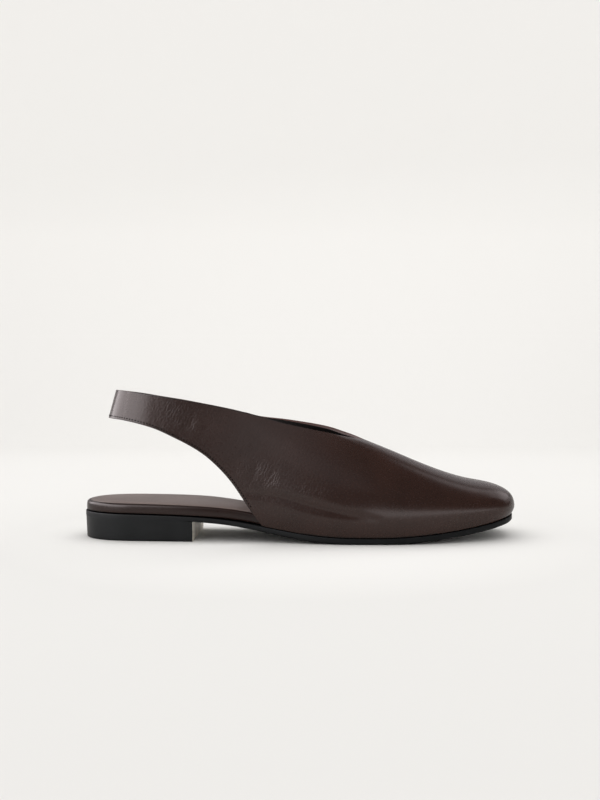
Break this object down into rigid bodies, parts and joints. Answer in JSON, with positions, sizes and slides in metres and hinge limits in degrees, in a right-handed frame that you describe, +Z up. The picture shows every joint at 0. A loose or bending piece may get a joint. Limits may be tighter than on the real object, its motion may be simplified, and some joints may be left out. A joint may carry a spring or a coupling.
{
  "type": "ballet flat",
  "caption": "Slingback ballet flat with a soft square toe, low V throat, strap round the heel, low block heel and thin sole.",
  "frame": {"origin": "on the floor, under the middle of the shoe's bounding box", "axes": "+X from heel to toe, +Y towards the inner side of the foot, +Z up from the floor"},
  "size_m": [0.2568, 0.082, 0.0867],
  "materials": {
    "brown_leather": "smooth, satin",
    "sock_leather": "smooth, soft satin",
    "black_sole": "matte",
    "black_heel": "satin"
  },
  "bodies": {
    "root": {"outsole": "black_sole", "heel": "black_heel", "insole": "brown_leather", "sock": "sock_leather", "upper": "brown_leather"}
  },
  "joints": []
}
